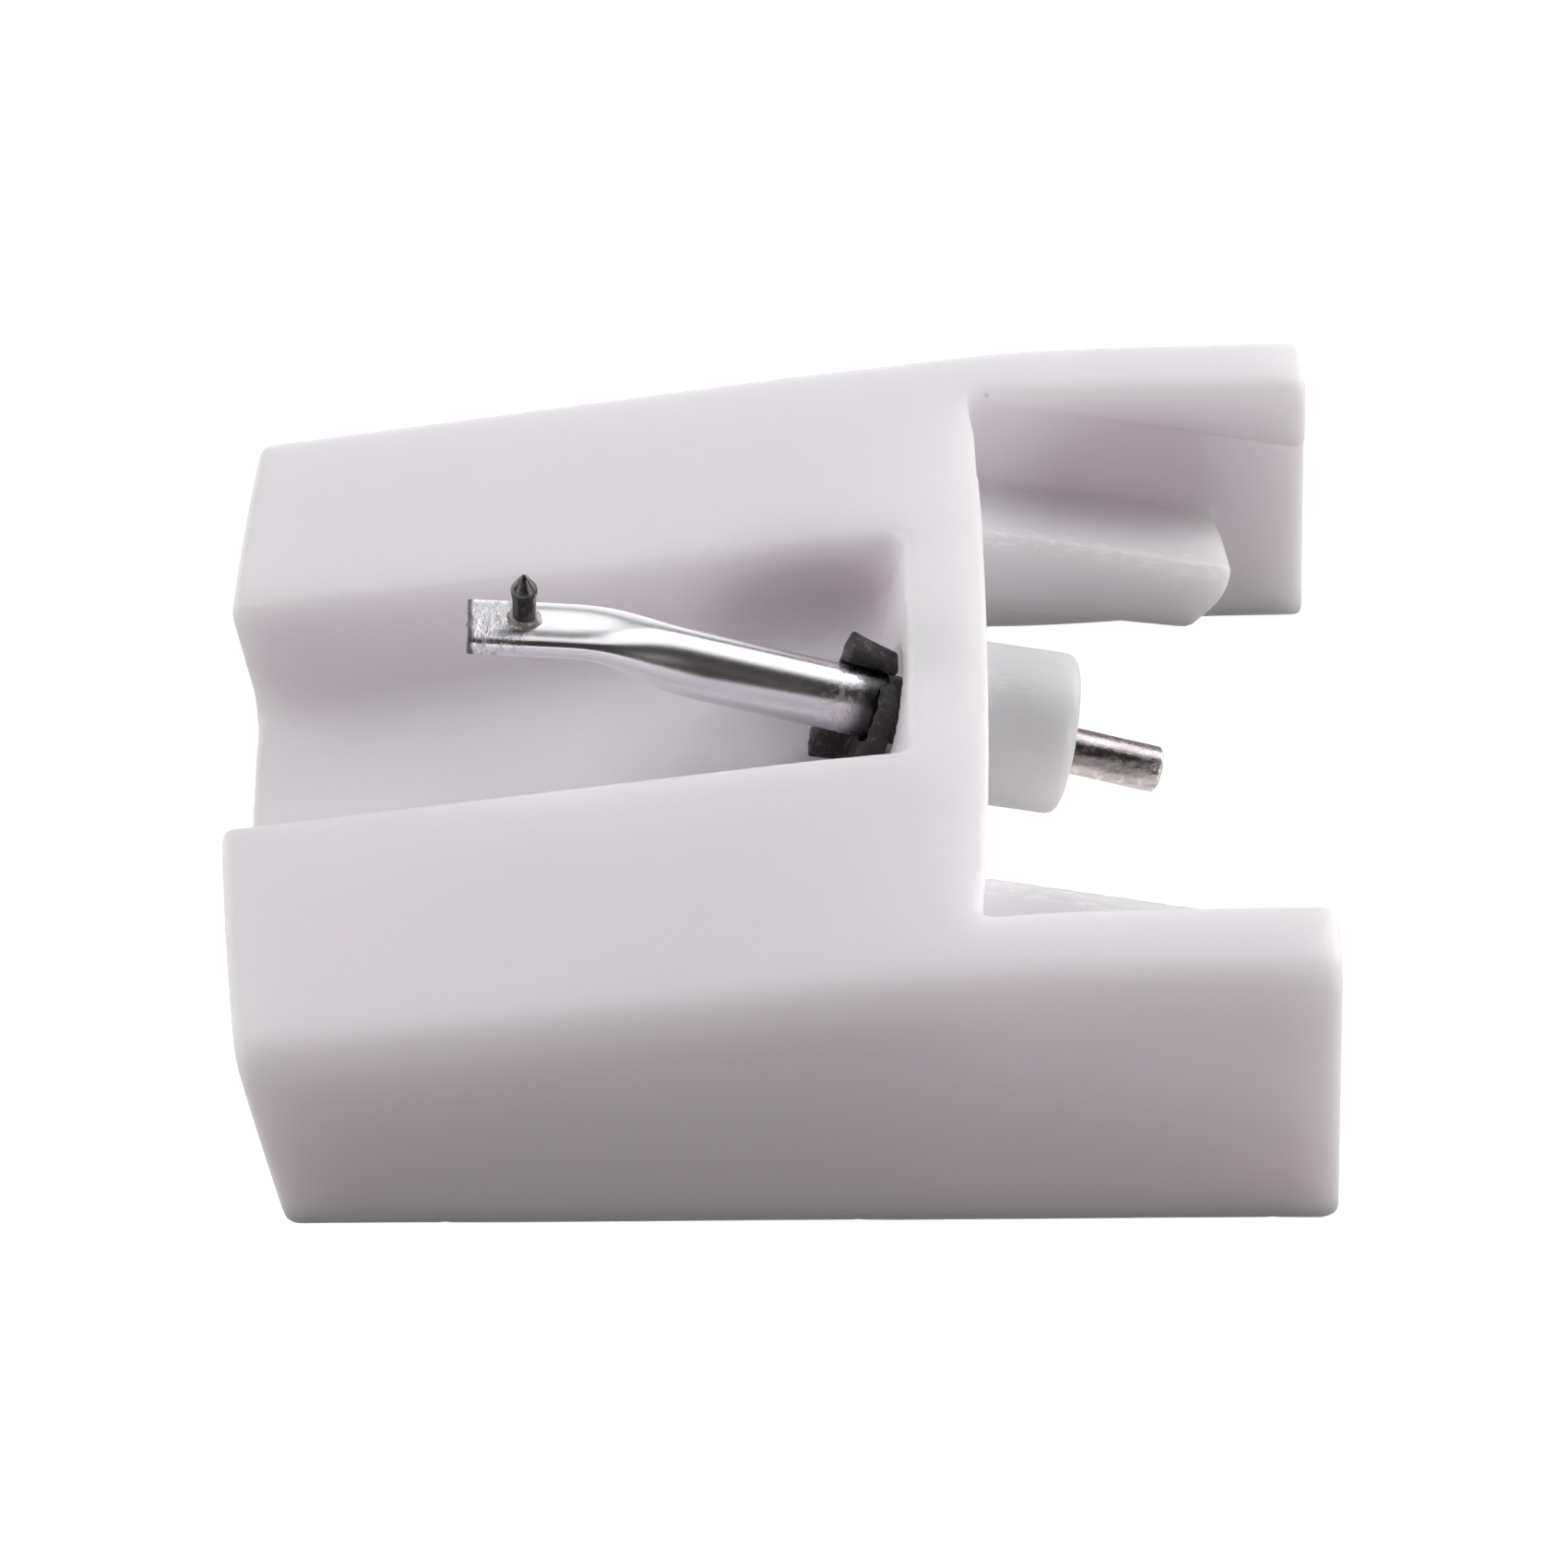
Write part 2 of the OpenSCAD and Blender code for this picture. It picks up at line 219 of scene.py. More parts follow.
PIVOT, PLUG_TILT = np.array((1.3, 0, 2.8)), math.radians(12.5)
POCKET, BOSS, BOSS_REACH, BORE = 1.2, 0.92, 2.06, 0.67
WALL, WALL_BOW, ARM_INSIDE, RELIEF, RELIEF_HEIGHT = 0.87, 150, 4.4, 0.18, 1.06
RAIL_GAP, RAIL_REACH, RAIL_TOP, RAIL_BOTTOM = 5.84, 4.05, 0.34, 0.92
RAIL_FALL, RAIL_TAPER, RAIL_SLANT = (math.radians(a) for a in (18.7, 3.8, 30))
ARM_SWELL = 0.07

# Radii of its edges and fillets
SHARP, FOOT_EDGE, END_EDGE, KNEE_EDGE, ROOF_EDGE = 0.01, 0.07, 0.2, 0.3, 0.42
GAP_CORNER, RAIL_EDGE, RAIL_END, RAIL_SLOPE, RAIL_FILLET = 0.12, 0.09, 0.12, 0.1, 0.1
BOSS_EDGE, BOSS_FILLET, BORE_RIM = 0.14, 0.06, 0.05
CHANNEL_CORNER, CHANNEL_END, POCKET_CORNER, POCKET_RIM, CHANNEL_RIM = 0.4, 0.16, 0.05, 0.06, 0.1


def meet(a, b, radius):
    """What is inside both forms, with a rounded edge where they meet."""
    over = np.hypot(np.maximum(a + radius, 0), np.maximum(b + radius, 0))
    return np.minimum(np.maximum(a, b), -radius) + over


def join(a, b, radius):
    """What is inside either form, with a fillet between them."""
    return -meet(-a, -b, radius)


def cut(a, b, radius):
    """What is inside the first form and outside the second, with a rounded edge."""
    return meet(a, -b, radius)


def tilted(p, tilt):
    """Distances along and above an axis that falls to the rear through the pivot."""
    x, z = p[..., 0] - PIVOT[0], p[..., 2] - PIVOT[2]
    return x * math.cos(tilt) - z * math.sin(tilt), x * math.sin(tilt) + z * math.cos(tilt)


def soft_step(x, low, high):
    t = np.clip((x - low) / (high - low), 0, 1)
    return t * t * (3 - 2 * t)


def roof_height(x, y):
    nose = -LENGTH / 2
    start = nose + (REAR_HEIGHT - NOSE_HEIGHT) / math.tan(WEDGE) + BLEND * math.tan(WEDGE / 2)
    back = np.maximum(start - x, 0)
    bend = BLEND * math.sin(WEDGE)
    arc = BLEND - np.sqrt(BLEND ** 2 - np.minimum(back, bend) ** 2)
    slope = arc + np.maximum(back - bend, 0) * math.tan(WEDGE)
    beside = y - RIDGE
    swell = ARM_SWELL * soft_step(x, 0.9, 3.2) * soft_step(y, 2.4, 4.6)
    fall = SIDE_FALL * (beside + np.sqrt(beside ** 2 + RIDGE_SOFTNESS)) / 2
    return REAR_HEIGHT + swell - slope - fall


def nose_face(p, x, z, rake):
    back = (p[..., 0] - x) * math.cos(rake) + (p[..., 2] - z) * math.sin(rake)
    return np.hypot(back - NOSE_BOW, p[..., 1]) - NOSE_BOW


def moulding(p):
    x, y, z = p[..., 0], np.abs(p[..., 1]), p[..., 2]
    along, above = tilted(p, PLUG_TILT)
    nose = -LENGTH / 2 - EDGE_LOSS - NOSE_BOW + math.sqrt(NOSE_BOW ** 2 - CHANNEL_WIDTH ** 2 / 4)
    knee = nose + (NOSE_HEIGHT - KNEE_HEIGHT) * math.tan(RAKE_TOP)
    taper = (REAR_WIDTH - NOSE_WIDTH) / 2 / LENGTH
    side = y - REAR_WIDTH / 2 + (LENGTH / 2 - x) * taper
    front = meet(
        nose_face(p, nose, NOSE_HEIGHT, RAKE_TOP), nose_face(p, knee, KNEE_HEIGHT, RAKE_LOW), KNEE_EDGE
    )
    body = meet((z - roof_height(x, y)) * math.cos(WEDGE), side, ROOF_EDGE)
    body = meet(meet(body, front, END_EDGE), x - LENGTH / 2, END_EDGE)
    body = meet(body, -z, FOOT_EDGE)

    deepened = 0.35 + 0.65 * soft_step(x, 2.8, 5.2)
    relief = ARM_INSIDE + RELIEF * soft_step(RELIEF_HEIGHT - above, -0.03, 0.12) * deepened
    wall = WALL_BOW - np.hypot(along - WALL + WALL_BOW, y)
    body = cut(body, meet(y - relief, wall, GAP_CORNER), 0.07 + 0.11 * soft_step(y, 3.6, 4.2))

    beside = y - RAIL_GAP / 2
    top = (above - RAIL_TOP + beside * math.tan(RAIL_FALL)) * math.cos(RAIL_FALL)
    low = -(above + RAIL_BOTTOM - along * math.tan(RAIL_TAPER)) * math.cos(RAIL_TAPER)
    below_top = above - RAIL_TOP + 0.5
    slant = (along - RAIL_REACH) * math.cos(RAIL_SLANT) - below_top * math.sin(RAIL_SLANT)
    rail = meet(meet(-beside, top, RAIL_EDGE), low, RAIL_EDGE)
    rail = meet(meet(rail, along - RAIL_REACH, RAIL_END), slant, RAIL_SLOPE)
    rail = meet(meet(rail, y - ARM_INSIDE - RELIEF - 0.3, SHARP), -along, SHARP)
    body = join(body, rail, RAIL_FILLET)
    boss = meet(np.hypot(y, above) - BOSS, along - BOSS_REACH, BOSS_EDGE)
    body = join(body, meet(boss, -along, SHARP), BOSS_FILLET)

    floor = (x - nose) * math.sin(FLOOR_RISE) - (z - FLOOR_HEIGHT) * math.cos(FLOOR_RISE)
    channel = meet(meet(y - CHANNEL_WIDTH / 2, floor, CHANNEL_CORNER), along, CHANNEL_END)
    pocket = meet(np.hypot(y, above) - POCKET, along, POCKET_CORNER)
    body = cut(body, join(channel, pocket, POCKET_RIM), CHANNEL_RIM)
    return cut(body, meet(np.hypot(y, above) - BORE, -along - 0.2, SHARP), BORE_RIM)


def surface_of(form, low, high, step):
    """Points and quads of the surface where form is zero, a point for each grid cell that it passes."""
    axes = [np.arange(a, b + step, step) for a, b in zip(low, high)]
    grid = np.stack(np.meshgrid(*axes, indexing="ij"), -1)
    value = form(grid)
    shape = np.array(value.shape)
    total, number = np.zeros((value.size, 3)), np.zeros(value.size)
    rings = []
    for axis in range(3):
        one, other = (axis + 1) % 3, (axis + 2) % 3
        ahead = np.roll(value, -1, axis)
        passed = (value < 0) != (ahead < 0)
        at = np.argwhere(passed)
        a, b = value[passed], ahead[passed]
        point = grid[passed]
        point[:, axis] += step * a / (a - b)
        ring = []
        for i, j in ((0, 0), (-1, 0), (-1, -1), (0, -1)):
            cell = at.copy()
            cell[:, one] += i
            cell[:, other] += j
            cell = np.ravel_multi_index(cell.T, shape)
            np.add.at(total, cell, point)
            np.add.at(number, cell, 1)
            ring.append(cell)
        ring = np.stack(ring, 1)
        rings.append(np.where((a < 0)[:, None], ring, ring[:, ::-1]))
    used = number > 0
    points = total[used] / number[used, None]
    rings = (np.cumsum(used) - 1)[np.concatenate(rings)]
    # Each point then slides down the form's slope on to the surface, and stays near its own cell
    start, nudge, slack = points.copy(), 0.003, 0.6 * step
    for _ in range(4):
        here = form(points)
        slope = np.stack([form(points + nudge * np.eye(3)[k]) - here for k in range(3)], 1) / nudge
        points = points - slope * (here / np.maximum((slope ** 2).sum(1), 0.1))[:, None]
        points = start + np.clip(points - start, -slack, slack)
    return points, rings


def built(name, points, rings):
    """A smooth mesh object from points in millimetres and rings of point numbers."""
    piece = put(name, points.tolist(), rings.tolist())
    piece.data.shade_smooth()
    return piece


MARGIN, CELL = 0.3, 0.078
low_corner = np.array((-LENGTH / 2, -REAR_WIDTH / 2, 0)) - MARGIN
high_corner = np.array((LENGTH / 2, REAR_WIDTH / 2, REAR_HEIGHT)) + MARGIN
points, rings = surface_of(moulding, low_corner, high_corner, CELL)
holder = built("holder_moulding", points, rings)

plastic = Finish(
    "white moulded plastic", Roughness=0.42, Subsurface_Weight=1.0, Subsurface_Scale=0.0017,
    Subsurface_Radius=(1.0, 0.88, 0.9), IOR=1.5,
)
place = plastic.millimetres()
cloud = plastic.noise(place, 0.35, 3)
tint = plastic.mix(cloud, (0.79, 0.77, 0.81, 1), (0.83, 0.805, 0.84, 1))
# Painted light and shade: the boss is painted lighter, and painted shade darkens the far wall of the
# channel beside the rubber and the inner face of the far arm. Middle, reach, colour and strength.
PAINTED_LIGHT_AND_SHADE = (
    ((3.0, 0, 2.4), 1.7, (0.97, 0.91, 0.97, 1), 0.8),
    ((3.2, 0.1, 3.2), 0.8, (1.0, 0.97, 1.0, 1), 0.8),
    ((0.3, 1.6, 2.7), 1.5, (0.62, 0.58, 0.62, 1), 0.6),
    ((4.1, 4.6, 2.4), 1.7, (0.6, 0.54, 0.57, 1), 0.45),
)
for middle, reach, shade, strength in PAINTED_LIGHT_AND_SHADE:
    away_from = plastic.distance(place, middle)
    tint = plastic.mix(plastic.steps(away_from, 0.3 * reach, reach, strength, 0.0), tint, shade)

# Specks of dirt and small worn spots, in the same order
SPECKS = (
    ((0.72, 1.85, 2.66), 0.12, (0.66, 0.61, 0.64, 1), 0.3),
    ((2.51, 4.42, 3.69), 0.06, (0.3, 0.27, 0.28, 1), 0.8),
    ((-1.2, -4.69, 3.55), 0.2, (0.68, 0.64, 0.66, 1), 0.35),
    ((2.85, -0.1, 2.9), 0.035, (0.35, 0.32, 0.33, 1), 0.5),
)
for middle, reach, shade, strength in SPECKS:
    ragged = plastic.distance(place, middle) + plastic.noise(place, 6, 3) * (0.8 * reach)
    tint = plastic.mix(plastic.steps(ragged, 0.5 * reach, 1.4 * reach, strength, 0.0), tint, shade)

# Painted shade: both outer sides are painted darker towards the foot
lengthwise, sideways, height = plastic.split(place)
beside = plastic.add("Math", {"operation": "ABSOLUTE"}, {0: sideways})
on_side = plastic.steps(beside, REAR_WIDTH / 2 - 0.6, REAR_WIDTH / 2 - 0.1)
painted_foot_shade = plastic.steps(height, 0.0, 2.4, 0.5, 0.0)
tint = plastic.mix(on_side * painted_foot_shade, tint, (0.6, 0.5, 0.55, 1))

# Painted highlights: white streaks painted along the top edges of the rails and of the boss, where light
# glints
above = (lengthwise - PIVOT[0]) * math.sin(PLUG_TILT) + (height - PIVOT[2]) * math.cos(PLUG_TILT)
behind_wall = plastic.steps(lengthwise, 1.9, 2.3)
streak = plastic.steps(plastic.noise(place, 8, 4, 0.6, (0.5, 2.2, 2.2)), 0.48, 0.62)
for edge_beside, edge_above, reach in (
    (RAIL_GAP / 2 + 0.1, RAIL_TOP - 0.04, 0.22), (0.25, BOSS - 0.06, 0.16)
):
    aside, over = beside - edge_beside, above - edge_above
    painted_highlight = plastic.steps(aside * aside + over * over, 0.2 * reach ** 2, reach ** 2, 0.45, 0.0)
    tint = plastic.mix(painted_highlight * streak * behind_wall, tint, (1, 1, 1, 1))
plastic.drive("Base Color", tint)
grain = plastic.noise(place, 14, 3, 0.6)
plastic.bump(grain, 0.000004, 0.5)
holder.data.materials.append(plastic.material)
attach(holder, "holder")
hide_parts("holder")

# Damper: a block of black rubber, cut from a sheet, that the tube is pushed through. It lies flush against
# the end of the pocket, and a lip of it covers the tube's far side.
ARM_TILT, TUBE_RADIUS, HOLE_PLAY = math.radians(18.3), 0.385, 0.036
SLAB_FRONT, SLAB_REAR, SLAB_TOP, SLAB_FOOT, SLAB_NEAR, SLAB_FAR = -0.235, 0.015, 0.44, 1.05, -0.47, 0.48
LIP_FRONT, LIP_NEAR, LIP_TOP = -0.635, 0.14, 0.6
CUT_EDGE, RUBBER_CELL = 0.03, 0.03


def rubber(p):
    y = p[..., 1]
    s, h = tilted(p, ARM_TILT)
    along, above = tilted(p, PLUG_TILT)
    cut_marks = 0.012 * np.sin(9 * y + 5 * h) * np.sin(11 * h - 7 * y) + 0.006 * np.sin(31 * y + 23 * h)
    slab = meet(SLAB_FRONT - s + 1.5 * cut_marks, along - SLAB_REAR, CUT_EDGE)
    slab = meet(slab, meet(y - SLAB_FAR, SLAB_NEAR - y, CUT_EDGE), CUT_EDGE)
    slab = meet(slab, meet(above - SLAB_TOP, -above - SLAB_FOOT, 0.04) + cut_marks, 0.035)
    lip = meet(LIP_FRONT - s + cut_marks, s, 0.04)
    lip = meet(lip, meet(y - SLAB_FAR, LIP_NEAR - y, CUT_EDGE), 0.06)
    lip_top = h - LIP_TOP + 0.3 * (s + 0.4)
    lip = meet(lip, meet(lip_top, -above - SLAB_FOOT, 0.05) + cut_marks, 0.11)
    block = join(slab, lip, 0.025)
    return cut(block, np.hypot(y, h) - TUBE_RADIUS - HOLE_PLAY, CUT_EDGE)


points, rings = surface_of(rubber, (0.3, -0.6, 1.5), (1.9, 0.6, 3.6), RUBBER_CELL)
damper = built("damper_block", points, rings)
black = Finish("black rubber", Roughness=0.5, IOR=1.45)
place = black.millimetres()
dust = black.steps(black.noise(place, 9, 4, 0.7), 0.56, 0.7)
film = black.mix(black.noise(place, 2.5, 3), (0.017, 0.015, 0.016, 1), (0.05, 0.045, 0.045, 1))
black.drive("Base Color", black.mix(dust * 0.35, film, (0.3, 0.28, 0.28, 1)))
black.drive("Roughness", black.steps(black.noise(place, 6, 3), 0.3, 0.7, 0.32, 0.62))
black.bump(black.noise(place, 12, 5, 0.65), 0.00002, 0.8)
damper.data.materials.append(black.material)
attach(damper, "damper")
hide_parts("damper")

# Cantilever: a drawn aluminium tube. Its front end is pressed flat between two tools, which leaves two
# rounded long edges and a ragged shorn end. The magnet is glued into its open rear end.
TUBE_FRONT, TUBE_REAR, NECK, PAD_LENGTH, PAD_TILT = 3.0, 0.9, 0.85, 1.14, math.radians(5.1)
PAD_HALF, PAD_THICK, MAGNET_RADIUS = 0.378, 0.31, 0.2675
SEAT_END, SEAT_PLAY, REAR_EDGE = 0.25, 0.003, 0.02
SIDES, BEND, BEND_MIDDLE, SQUARENESS = 72, 0.62, TUBE_FRONT + 0.1, 3.6
ROUND_RINGS, STRIDE = 26, 0.025


def arm_point(s, h):
    """X and Z of a place from its distances along and above the tube's axis."""
    return (
        PIVOT[0] + s * math.cos(ARM_TILT) + h * math.sin(ARM_TILT),
        PIVOT[2] - s * math.sin(ARM_TILT) + h * math.cos(ARM_TILT),
    )


def pressed_ring(middle, tilt, half_width, half_height, squareness, ragged=0.0):
    """A closed ring square to a direction that falls to the rear by tilt. Squareness 2 makes it round."""
    ring = []
    for k in range(SIDES):
        turn = 2 * math.pi * k / SIDES
        across = math.copysign(abs(math.cos(turn)) ** (2 / squareness), math.cos(turn)) * half_width
        rise = math.copysign(abs(math.sin(turn)) ** (2 / squareness), math.sin(turn)) * half_height
        back = ragged * (math.sin(7.3 * turn) + math.sin(17.1 * turn + 1) + math.sin(29.7 * turn + 2)) / 3
        ring.append((
            middle[0] + rise * math.sin(tilt) + back * math.cos(tilt), across,
            middle[1] + rise * math.cos(tilt) - back * math.sin(tilt),
        ))
    return ring


def lofted(name, loops, close=False):
    """A skin over rings of points, with the first and last rings filled where it is closed."""
    sides = len(loops[0])
    points = [p for loop in loops for p in loop]
    faces = []
    for i in range(len(loops) - 1):
        for k in range(sides):
            n = (k + 1) % sides
            faces.append((i * sides + k, i * sides + n, (i + 1) * sides + n, (i + 1) * sides + k))
    if close:
        faces.append(tuple(range(sides))[::-1])
        faces.append(tuple(range(len(points) - sides, len(points))))
    piece = put(name, points, faces)
    piece.data.shade_smooth()
    return piece


# From the bottom of the magnet's seat, round the open rear end and up the round tube
seat = MAGNET_RADIUS + SEAT_PLAY
rings_of_rear = [
    (SEAT_END, seat), (TUBE_REAR - REAR_EDGE, seat), (TUBE_REAR, seat + 0.015),
    (TUBE_REAR, TUBE_RADIUS - REAR_EDGE), (TUBE_REAR - REAR_EDGE, TUBE_RADIUS),
]
start, end = -TUBE_FRONT + 0.8, -TUBE_FRONT - NECK - PAD_LENGTH
rings_of_tube = [
    (TUBE_REAR - 0.05 + (start - TUBE_REAR) * k / ROUND_RINGS, TUBE_RADIUS) for k in range(ROUND_RINGS)
]
loops = [pressed_ring(arm_point(s, 0), ARM_TILT, r, r, 2) for s, r in rings_of_rear + rings_of_tube]

# The tube's top line goes through the bend to the pressed end, and each ring hangs from it
top_line, s, (x, z) = [], start, arm_point(start, TUBE_RADIUS)
while s > end - 0.001:
    share = soft_step(-s, BEND_MIDDLE - BEND, BEND_MIDDLE + BEND)
    tilt = ARM_TILT + (PAD_TILT - ARM_TILT) * float(share)
    top_line.append((s, x, z, tilt))
    x, z = x - STRIDE * math.cos(tilt), z + STRIDE * math.sin(tilt)
    s -= STRIDE
for s, x, z, tilt in top_line:
    share = float(soft_step(-s, TUBE_FRONT - 0.7, TUBE_FRONT + NECK))
    half_height = TUBE_RADIUS + (PAD_THICK / 2 - TUBE_RADIUS) * share
    half_width = TUBE_RADIUS + 0.012 * math.sin(math.pi * share) + (PAD_HALF - TUBE_RADIUS) * share
    squareness = 2 + (SQUARENESS - 2) * share ** 2.2
    middle = (x - half_height * math.sin(tilt), z - half_height * math.cos(tilt))
    loops.append(pressed_ring(middle, tilt, half_width, half_height, squareness))

# The shorn end, and the slit that is left between the pressed walls
_, PAD_FRONT, z, tilt = top_line[-1]
for back, narrower, thinner, squareness, ragged in (
    (0.0, 0.012, 0.012, SQUARENESS, 0.02), (0.0, 0.10, 0.105, 3.0, 0.02),
    (0.02, 0.13, 0.125, 2.5, 0.01), (0.3, 0.15, 0.14, 2.5, 0.01),
):
    middle = (PAD_FRONT - PAD_THICK / 2 * math.sin(tilt) + back, z - PAD_THICK / 2 * math.cos(tilt))
    half_width, half_height = PAD_HALF - narrower, PAD_THICK / 2 - thinner
    loops.append(pressed_ring(middle, tilt, half_width, half_height, squareness, ragged))
cantilever = lofted("cantilever_tube", loops)
cantilever.data.set_sharp_from_angle(angle=math.radians(50))

drawn = Finish("drawn aluminium", Metallic=1.0, Roughness=0.2)
place = drawn.millimetres()
lengthwise, _, height = drawn.split(place)
down_tube = (lengthwise - PIVOT[0]) * math.cos(ARM_TILT) - (height - PIVOT[2]) * math.sin(ARM_TILT)
scuffed = drawn.steps(lengthwise, PAD_FRONT + 0.45, PAD_FRONT + 0.75, 1, 0)
ragged = lengthwise + drawn.noise(place, 9, 3) * 0.08
shorn = drawn.steps(ragged, PAD_FRONT + 0.06, PAD_FRONT + 0.1, 1, 0)
near_block = drawn.steps(down_tube, -1.0, -0.55)
# Painted reflection: the tube is painted nearly black as it nears the rubber, for the rubber's dark
# reflection
painted_rubber_reflection = drawn.steps(down_tube, -0.64, -0.3)
fine = drawn.noise(place, 5, 5, 0.7, (1, 3, 3))
dents = drawn.noise(place, 5.5, 5, 0.68, (2, 1, 1))
frost = drawn.steps(drawn.noise(place, 11, 4, 0.7), 0.47, 0.6)
marks = drawn.steps(dents, 0.5, 0.62) * scuffed
metal = drawn.mix(drawn.noise(place, 1.3, 3), (0.80, 0.785, 0.80, 1), (0.88, 0.865, 0.88, 1))
metal = drawn.mix(marks * 0.6, metal, (0.4, 0.38, 0.39, 1))
metal = drawn.mix(shorn * 0.85, metal, (0.07, 0.065, 0.07, 1))
metal = drawn.mix(frost * near_block * 0.35, metal, (0.5, 0.48, 0.48, 1))
# The painted dark reflection of the rubber goes over all the rest
drawn.drive("Base Color", drawn.mix(painted_rubber_reflection * 0.97, metal, (0.03, 0.028, 0.028, 1)))
dulled = frost * near_block * 0.2 + (marks + shorn) * 0.2
drawn.drive("Roughness", (drawn.steps(fine, 0.3, 0.7, 0.235, 0.265) + dulled).clamped())
pitting = drawn.noise(place, 12, 4, 0.7) * (near_block * 0.2 + 0.015)
drawn.bump(dents * (scuffed * 0.8 + 0.03) + pitting, 0.00003, 0.7)
cantilever.data.materials.append(drawn.material)
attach(cantilever, "stylus_arm")
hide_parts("cantilever")

# Magnet: a ground rod of brittle magnet alloy, glued into the tube. It comes out through the boss, and
# its surface is slightly uneven all round.
MAGNET_REACH, MAGNET_DEPTH, MAGNET_EDGE = 3.22, 1.0, 0.055


def turned(name, profile, sides, spot, axis_tilt=0.0, chips=0.0):
    """A piece with a round section, from (height, radius) pairs along an axis, standing on a spot."""
    loops = []
    for height, radius in profile:
        loop = []
        for k in range(sides):
            turn = 2 * math.pi * k / sides
            r = radius * (1 - chips * max(0, math.sin(5 * turn + 1) * math.sin(11 * turn + 9 * height)))
            x, y = r * math.cos(turn), r * math.sin(turn)
            loop.append((
                spot[0] + x * math.cos(axis_tilt) + height * math.sin(axis_tilt), spot[1] + y,
                spot[2] - x * math.sin(axis_tilt) + height * math.cos(axis_tilt),
            ))
        loops.append(loop)
    return lofted(name, loops, True)


profile = [(TUBE_REAR - MAGNET_DEPTH, MAGNET_RADIUS)]
profile += [(0.2 * k, MAGNET_RADIUS) for k in range(1, 16)]
profile += [
    (
        MAGNET_REACH - MAGNET_EDGE + MAGNET_EDGE * math.sin(turn),
        MAGNET_RADIUS - MAGNET_EDGE + MAGNET_EDGE * math.cos(turn),
    )
    for turn in np.linspace(0.1, math.pi / 2, 6)
]
magnet = turned("magnet", profile, 64, PIVOT, math.pi / 2 + ARM_TILT, 0.012)
magnet.data.set_sharp_from_angle(angle=math.radians(60))
ground = Finish("ground magnet alloy", Metallic=1.0, Roughness=0.35)
place = ground.millimetres()
pits = ground.steps(ground.noise(place, 8, 5, 0.7), 0.5, 0.64)
streaks = ground.noise(place, 3, 4, 0.65, (1, 4, 4))
tone = ground.mix(ground.steps(streaks, 0.35, 0.65), (0.3, 0.27, 0.265, 1), (0.44, 0.405, 0.395, 1))
ground.drive("Base Color", ground.mix(pits * 0.45, tone, (0.7, 0.67, 0.66, 1)))
ground.drive("Roughness", ground.steps(streaks, 0.3, 0.7, 0.2, 0.34))
ground.bump(ground.noise(place, 7, 5, 0.7, (1, 1.6, 1.6)), 0.00001, 0.6)
magnet.data.materials.append(ground.material)
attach(magnet, "stylus_arm")
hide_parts("magnet_rod")

# Tip: a dark metal shank set through the flattened end, with the ground diamond bonded on its top and a
# bead of adhesive round its foot. The profiles are pairs of height and radius.
TIP_SETBACK, TIP_LEAN = 0.64, math.radians(1.5)
SHANK_HEIGHT, SHANK_FOOT = 0.43, -PAD_THICK - 0.06
SHANK_PROFILE = (
    (SHANK_FOOT, 0.12), (SHANK_FOOT + 0.02, 0.138), (-0.1, 0.138), (0.0, 0.138), (0.1, 0.136),
    (0.2, 0.134), (0.28, 0.134), (0.34, 0.138), (0.375, 0.146), (0.405, 0.151), (SHANK_HEIGHT, 0.15),
)
STONE_PROFILE = (
    (0.0, 0.153), (0.03, 0.148), (0.07, 0.125), (0.12, 0.09), (0.165, 0.061), (0.195, 0.038),
    (0.21, 0.022), (0.217, 0.011), (0.22, 0.002),
)
BEAD_SINK = 0.002
BEAD_PROFILE = ((0.0, 0.208), (0.006, 0.203), (0.014, 0.187), (0.028, 0.17), (0.045, 0.158), (0.06, 0.15))

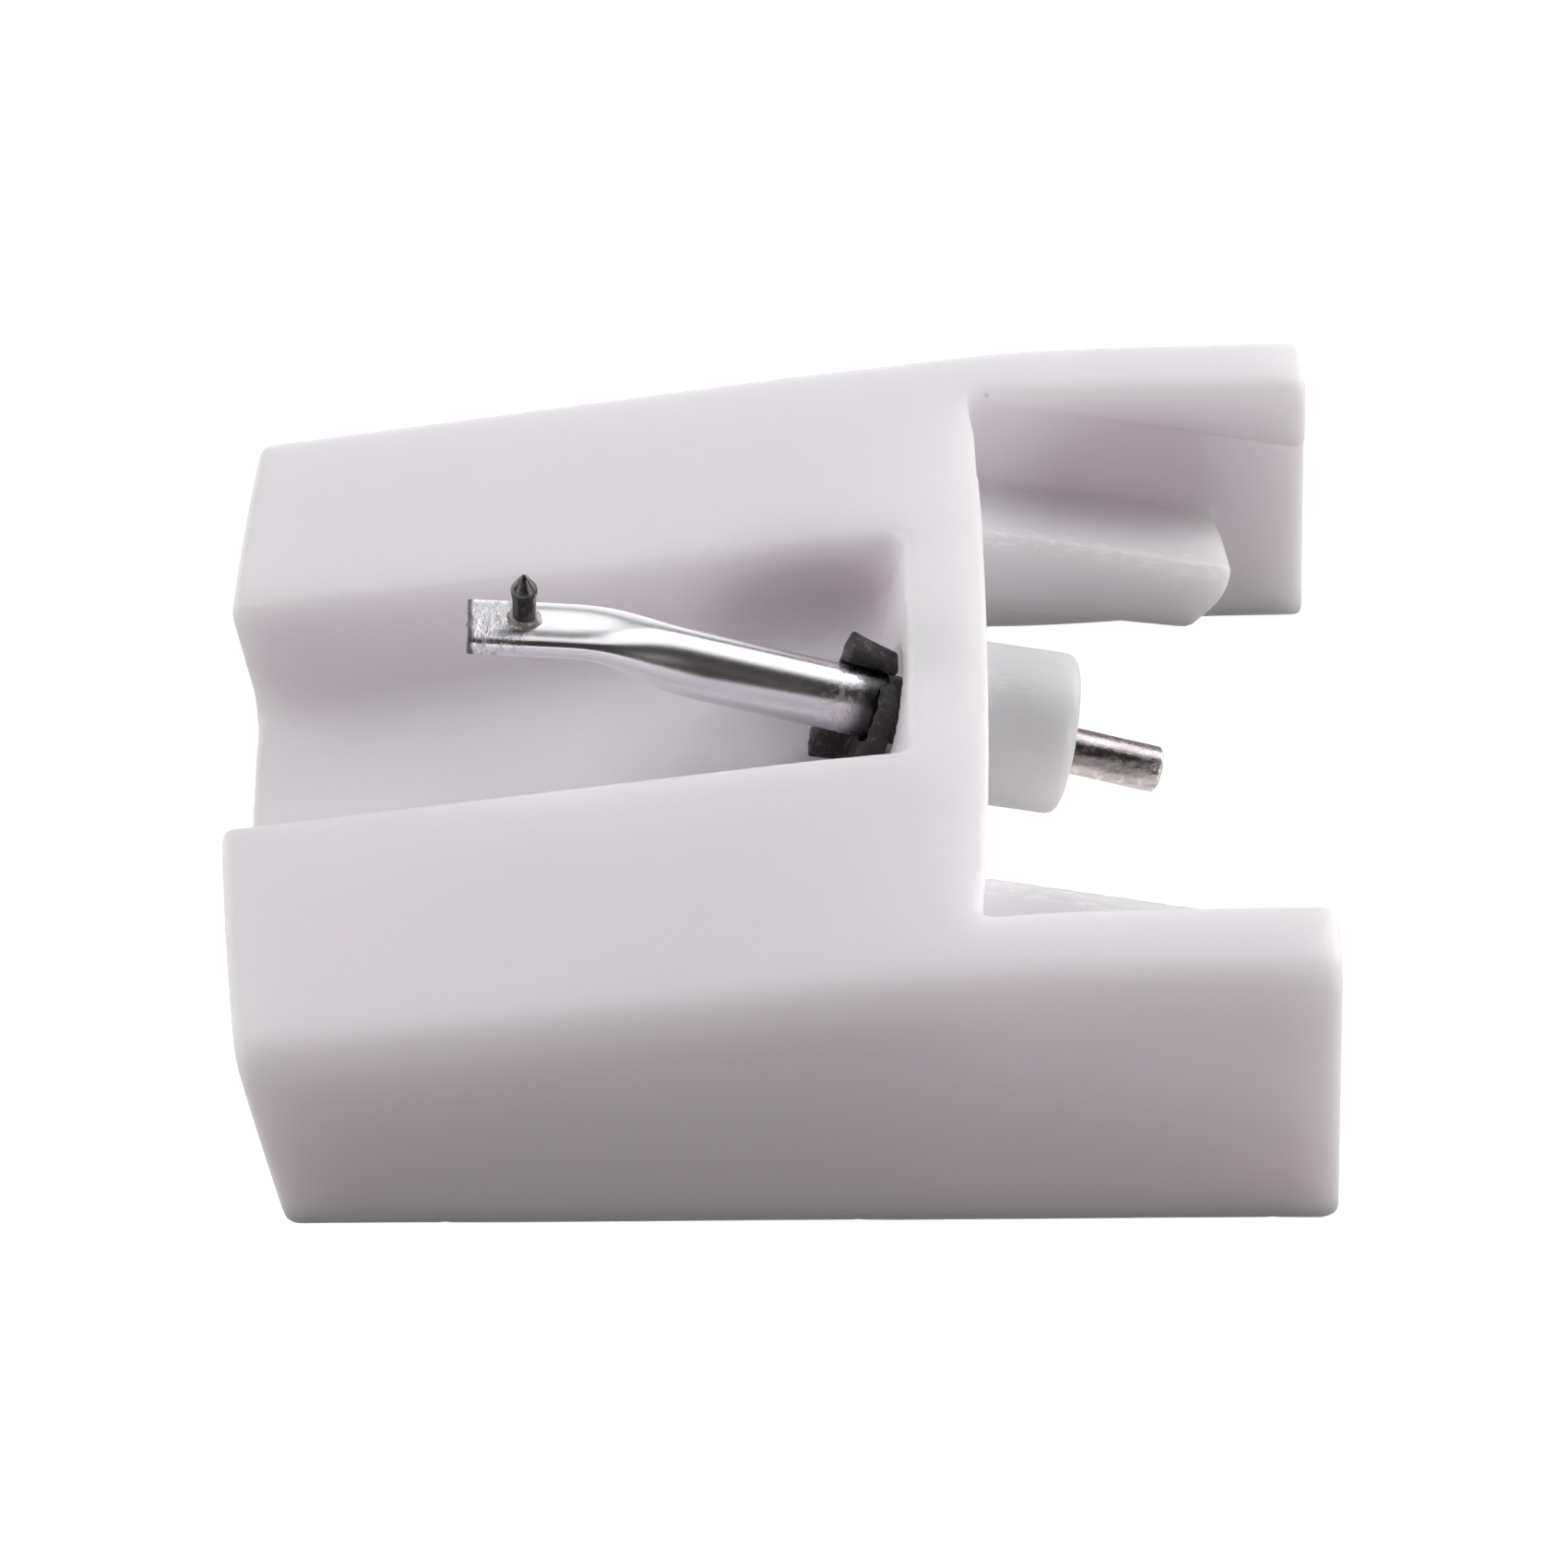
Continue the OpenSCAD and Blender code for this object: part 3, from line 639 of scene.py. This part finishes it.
foot = min(top_line, key=lambda row: abs(row[0] - end - TIP_SETBACK))
spot = (foot[1], 0.0, foot[2])
shank = turned("shank", SHANK_PROFILE, 40, spot, TIP_LEAN, 0.02)
shank.data.set_sharp_from_angle(angle=math.radians(60))
dark = Finish("dark shank metal", Metallic=0.0, Roughness=0.5, IOR=1.35)
place = dark.millimetres()
smear = dark.steps(dark.noise(place, 6, 4, 0.6), 0.5, 0.66)
dark.drive("Base Color", dark.mix(smear * 0.6, (0.01, 0.009, 0.01, 1), (0.09, 0.085, 0.085, 1)))
dark.drive("Roughness", dark.steps(dark.noise(place, 9, 3), 0.3, 0.7, 0.28, 0.5))
dark.bump(dark.noise(place, 10, 4, 0.6), 0.00002, 0.6)
shank.data.materials.append(dark.material)
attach(shank, "stylus_arm")
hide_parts("stylus_shank")

head = (spot[0] + SHANK_HEIGHT * math.sin(TIP_LEAN), 0.0, spot[2] + SHANK_HEIGHT * math.cos(TIP_LEAN))
stone = turned("diamond", STONE_PROFILE, 24, head, TIP_LEAN)
stone.data.set_sharp_from_angle(angle=math.radians(35))
diamond = Finish("ground diamond", Roughness=0.25, IOR=1.6)
place = diamond.millimetres()
glow = diamond.steps(diamond.noise(place, 7, 3), 0.4, 0.7)
diamond.drive("Base Color", diamond.mix(glow, (0.012, 0.011, 0.012, 1), (0.06, 0.055, 0.055, 1)))
diamond.drive("Roughness", diamond.steps(diamond.noise(place, 14, 3), 0.3, 0.7, 0.2, 0.4))
stone.data.materials.append(diamond.material)
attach(stone, "stylus_arm")
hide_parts("diamond_tip")

profile = [(height - BEAD_SINK, radius) for height, radius in BEAD_PROFILE]
bead = turned("adhesive_bead", profile, 40, spot, PAD_TILT, 0.1)
glue = Finish("cured adhesive", Roughness=0.28, IOR=1.5)
place = glue.millimetres()
clouded = glue.steps(glue.noise(place, 8, 4), 0.4, 0.62)
glue.drive("Base Color", glue.mix(clouded, (0.16, 0.15, 0.15, 1), (0.5, 0.48, 0.48, 1)))
glue.bump(glue.noise(place, 8, 3), 0.00002, 0.6)
bead.data.materials.append(glue.material)
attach(bead, "stylus_arm")
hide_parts("tip_bead")
